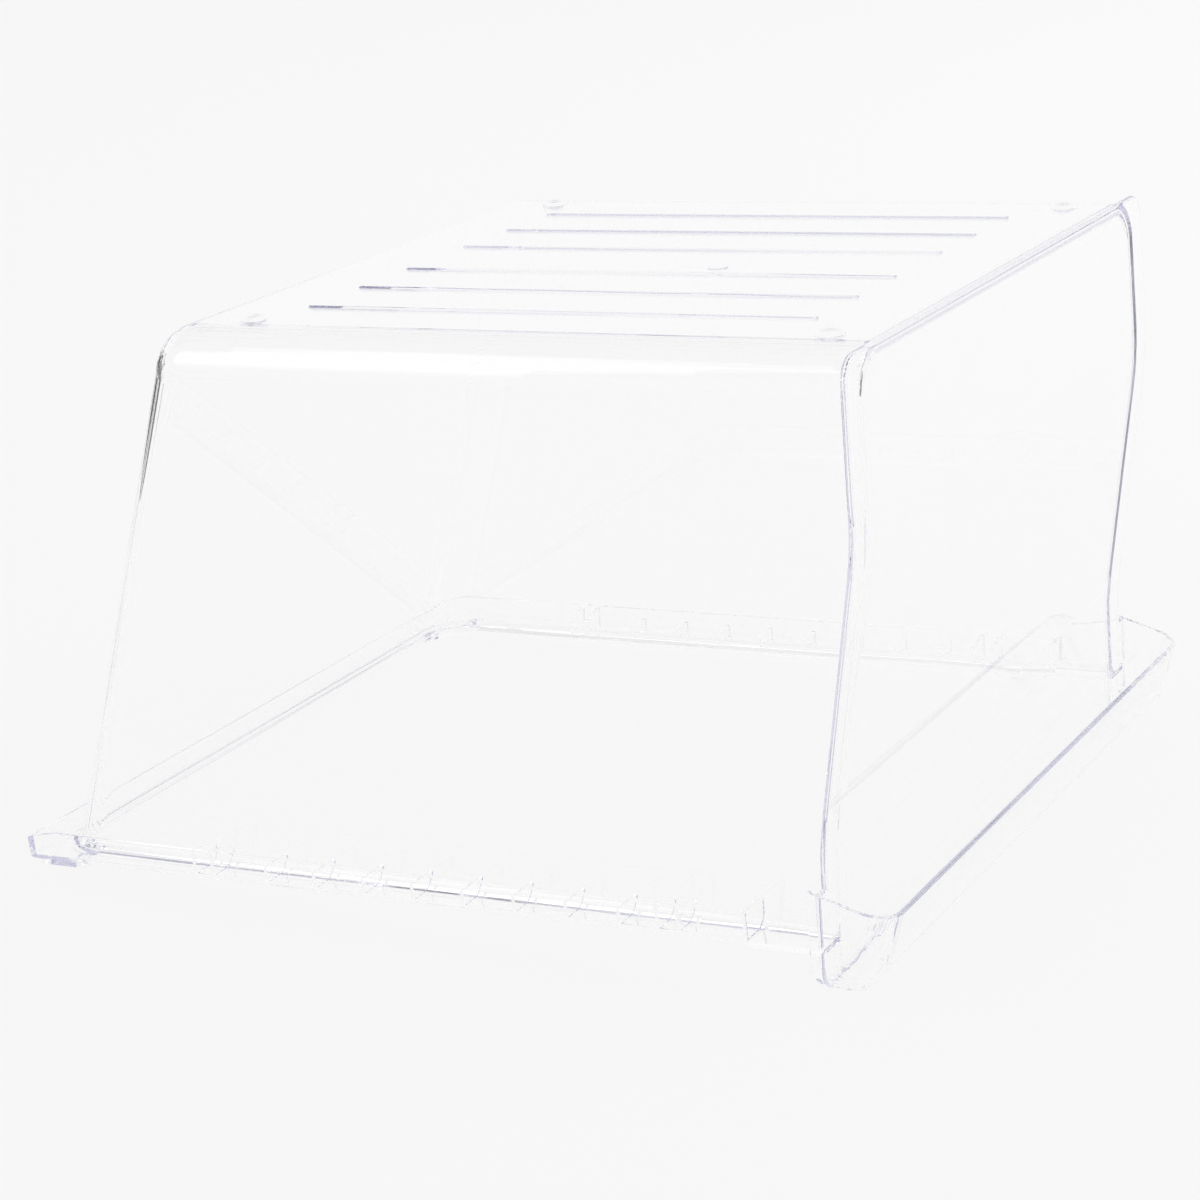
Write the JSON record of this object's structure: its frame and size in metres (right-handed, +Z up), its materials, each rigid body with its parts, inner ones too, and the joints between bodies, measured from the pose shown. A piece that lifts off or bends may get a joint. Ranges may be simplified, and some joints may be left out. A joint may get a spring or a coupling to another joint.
{
  "type": "freezer basket",
  "caption": "Clear moulded freezer basket, lying mouth down: sloping back wall, bent front panel wider than the body with a rolled handle lip, gusseted rim along the sides, ribbed base with domed feet.",
  "frame": {"origin": "on the floor under the middle of the outer box, the basket lying level with its mouth down", "axes": "+Z up from the mouth to the base plate, +X from the sloping back wall to the handle lip, +Y across"},
  "size_m": [0.406, 0.375, 0.2524],
  "materials": {
    "clear_plastic": "clear, polished by the mould"
  },
  "bodies": {
    "root": {"basket": "clear_plastic"}
  },
  "joints": []
}
